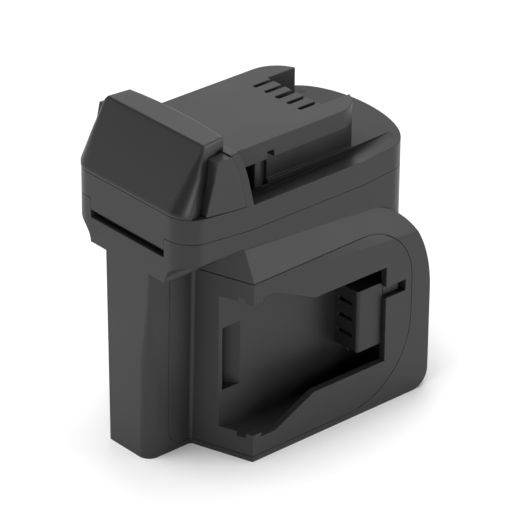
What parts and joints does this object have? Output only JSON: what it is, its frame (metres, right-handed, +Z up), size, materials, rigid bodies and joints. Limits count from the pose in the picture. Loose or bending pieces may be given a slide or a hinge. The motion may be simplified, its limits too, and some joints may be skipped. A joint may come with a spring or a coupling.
{
  "type": "tool battery adapter",
  "caption": "Slide-on battery adapter: a column body with a rail bay for a pack in each side, a plate head with contact slots on top, and squeeze buttons with latch hooks",
  "frame": {"origin": "bottom centre of the body", "axes": "+X to the right-hand bay, +Y from the front cap to the open end of the slide plate, +Z up"},
  "size_m": [0.086, 0.1396, 0.1564],
  "materials": {
    "housing": "fine grained moulded plastic, nearly black",
    "cap": "fine grained moulded plastic, nearly black, a touch smoother",
    "cradle": "fine grained moulded plastic, nearly black",
    "inner_plastic": "smooth moulded plastic",
    "terminal_plastic": "glass-filled plastic",
    "contact_brass": "stamped sheet, satin",
    "spring_steel": "drawn wire",
    "steel": "ground rod",
    "screw_steel": "dark zinc plated",
    "board": "solder mask over glass fibre laminate",
    "relay": "moulded case",
    "capacitor": "sleeved can",
    "chips": "epoxy",
    "connector": "moulded nylon",
    "lead_red": "silicone insulation",
    "lead_black": "silicone insulation"
  },
  "bodies": {
    "housing": {"main_housing": "housing", "head_housing": "housing", "front_cap": "cap", "latch_guide": "inner_plastic", "button_spring_right": "spring_steel", "button_spring_left": "spring_steel", "guide_pins": "steel", "head_terminal_carrier": "terminal_plastic", "head_power_contacts": "contact_brass", "head_signal_contacts": "contact_brass", "bay_cradle_right": "cradle", "bay_cradle_left": "cradle", "bay_terminal_block_right": "terminal_plastic", "bay_terminal_block_left": "terminal_plastic", "bay_contacts_right": "contact_brass", "bay_contacts_left": "contact_brass", "circuit_board": "board", "board_relay": "relay", "board_capacitors": "capacitor", "board_chips": "chips", "board_connector": "connector", "leads_right_bay": "lead_red", "leads_left_bay": "lead_black", "leads_head": "lead_red", "head_screws": "screw_steel", "cap_screws": "screw_steel", "guide_screws": "screw_steel", "carrier_screws": "screw_steel", "board_screws": "screw_steel", "cradle_screws_right": "screw_steel", "cradle_screws_left": "screw_steel", "block_screws_right": "screw_steel", "block_screws_left": "screw_steel"},
    "latch_right": {"release_button_right": "cap", "latch_hook_right": "inner_plastic"},
    "latch_left": {"release_button_left": "cap", "latch_hook_left": "inner_plastic"}
  },
  "joints": [
    {"name": "release_right", "type": "slide", "parent": "housing", "child": "latch_right", "axis": [-1, 0, 0], "range_m": [0, 0.004], "stiffness_N_per_m": 800, "springref_m": -0.003, "deforming": ["button_spring_right"]},
    {"name": "release_left", "type": "slide", "parent": "housing", "child": "latch_left", "axis": [1, 0, 0], "range_m": [0, 0.004], "stiffness_N_per_m": 800, "springref_m": -0.003, "deforming": ["button_spring_left"]}
  ]
}
